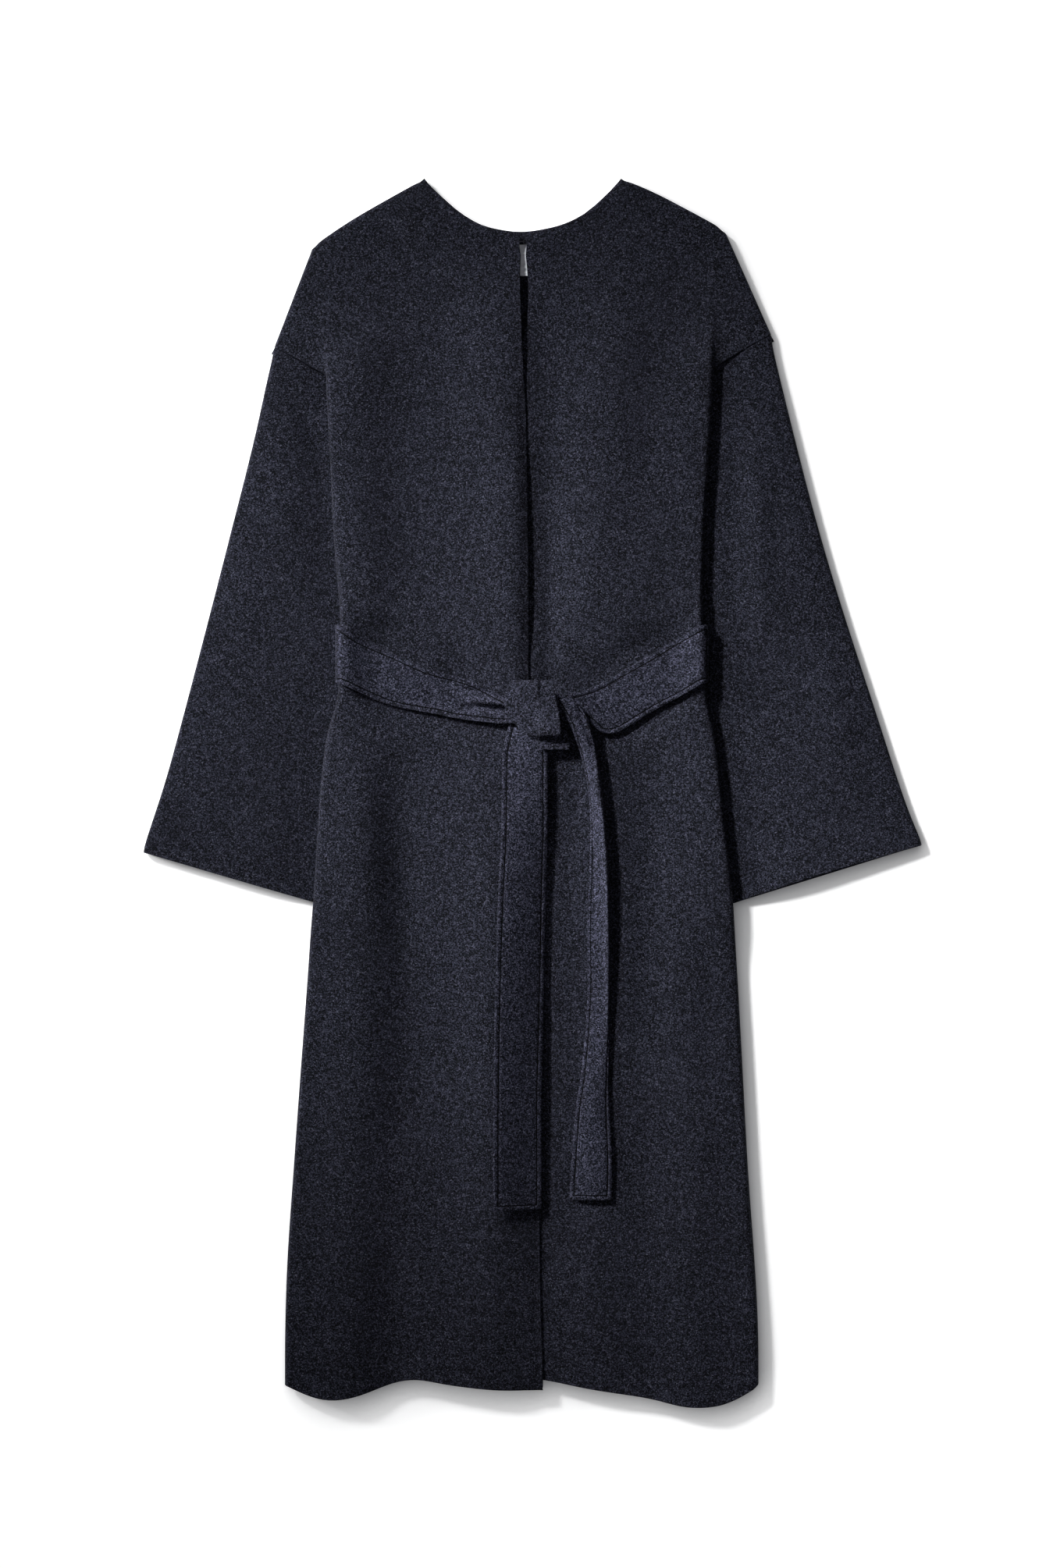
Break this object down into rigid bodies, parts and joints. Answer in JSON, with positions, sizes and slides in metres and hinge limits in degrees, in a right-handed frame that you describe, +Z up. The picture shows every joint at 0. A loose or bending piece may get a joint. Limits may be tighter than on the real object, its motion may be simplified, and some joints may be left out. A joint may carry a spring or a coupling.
{
  "type": "kimono coat",
  "caption": "Collarless kimono-cut wool coat with dropped shoulders, wide sleeves and a knotted tie belt, lying flat on its back.",
  "frame": {"origin": "on the surface that the coat lies on, below the middle of its outline", "axes": "+Z up from the surface, out of the front of the coat; +Y from the hem to the neck; +X to the wearer's left, the viewer's right"},
  "size_m": [0.748, 1.1799, 0.0412],
  "materials": {
    "coat_wool": "brushed heathered wool coating, very dark navy",
    "belt_wool": "the same wool, doubled and edge-stitched",
    "label_satin": "plain pale grey satin",
    "hook_steel": "dark steel wire"
  },
  "bodies": {
    "root": {"back_panel": "coat_wool", "right_front": "coat_wool", "left_front": "coat_wool", "right_sleeve": "coat_wool", "left_sleeve": "coat_wool", "belt_back": "belt_wool", "belt_right_side": "belt_wool", "belt_left_side": "belt_wool", "belt_knot": "belt_wool", "belt_knot_under": "belt_wool", "belt_right_tail": "belt_wool", "belt_left_tail": "belt_wool", "neck_label": "label_satin", "neck_hook": "hook_steel", "neck_eye": "hook_steel"}
  },
  "joints": []
}
